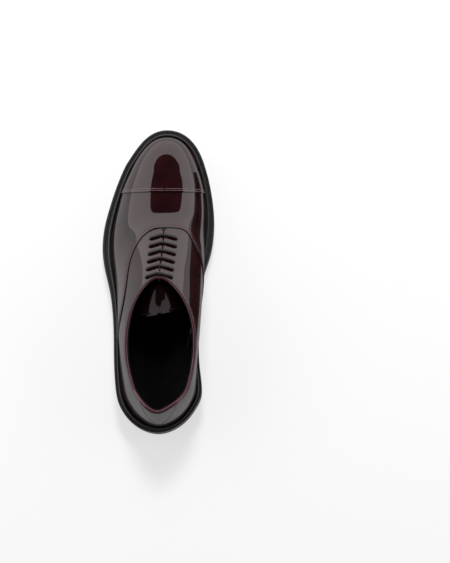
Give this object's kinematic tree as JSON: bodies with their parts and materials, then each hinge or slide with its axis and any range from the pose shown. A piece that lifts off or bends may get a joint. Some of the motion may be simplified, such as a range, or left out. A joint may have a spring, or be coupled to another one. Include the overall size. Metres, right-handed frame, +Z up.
{
  "type": "leather oxford shoe",
  "caption": "Left cap-toe oxford shoe in glossy oxblood leather, closed lacing in straight bars, black welt, low heel and rubber sole.",
  "frame": {"origin": "centre of the bounding box at ground level", "axes": "+Y towards the toe, +X towards the medial side, +Z up"},
  "size_m": [0.112, 0.3054, 0.1015],
  "materials": {
    "upper_leather": "high-gloss oxblood, mirror-like coat",
    "lining_leather": "matte black",
    "stiffener_board": "raw leatherboard",
    "interlining_cloth": "plain cotton backing",
    "eyelet_metal": "satin",
    "lace_cord": "waxed, semi-matte",
    "aglet_film": "gloss",
    "sole_rubber": "satin black",
    "welt_leather": "black, waxed edge",
    "insole_leather": "natural vegetable-tanned",
    "cork": "granular, dull",
    "shank_steel": "sprung steel"
  },
  "bodies": {
    "shoe": {"toe_cap": "upper_leather", "vamp": "upper_leather", "quarter_lateral": "upper_leather", "quarter_medial": "upper_leather", "heel_tab": "upper_leather", "vamp_lining": "lining_leather", "quarter_lining_lateral": "lining_leather", "quarter_lining_medial": "lining_leather", "heel_lining": "lining_leather", "sock_liner": "lining_leather", "toe_puff": "stiffener_board", "heel_counter": "stiffener_board", "vamp_interlining": "interlining_cloth", "eyelet_stay_lateral": "interlining_cloth", "eyelet_stay_medial": "interlining_cloth", "eyelet_lateral_1": "eyelet_metal", "eyelet_lateral_2": "eyelet_metal", "eyelet_lateral_3": "eyelet_metal", "eyelet_lateral_4": "eyelet_metal", "eyelet_lateral_5": "eyelet_metal", "eyelet_lateral_6": "eyelet_metal", "eyelet_medial_1": "eyelet_metal", "eyelet_medial_2": "eyelet_metal", "eyelet_medial_3": "eyelet_metal", "eyelet_medial_4": "eyelet_metal", "eyelet_medial_5": "eyelet_metal", "eyelet_medial_6": "eyelet_metal", "lace": "lace_cord", "welt_thread": "lace_cord", "aglet_1": "aglet_film", "aglet_2": "aglet_film", "outsole": "sole_rubber", "heel_top_lift": "sole_rubber", "heel_block": "sole_rubber", "welt": "welt_leather", "midsole": "welt_leather", "insole": "insole_leather", "cork_filler": "cork", "shank": "shank_steel"},
    "tongue": {"tongue": "upper_leather", "tongue_lining": "lining_leather"}
  },
  "joints": [
    {"name": "tongue_pivot", "type": "hinge", "parent": "shoe", "child": "tongue", "pos_m": [0.007, 0.0546, 0.056], "axis": [1, 0, 0], "range_deg": [0, 26], "stiffness_Nm_per_rad": 0.1, "springref_deg": -8.59}
  ]
}
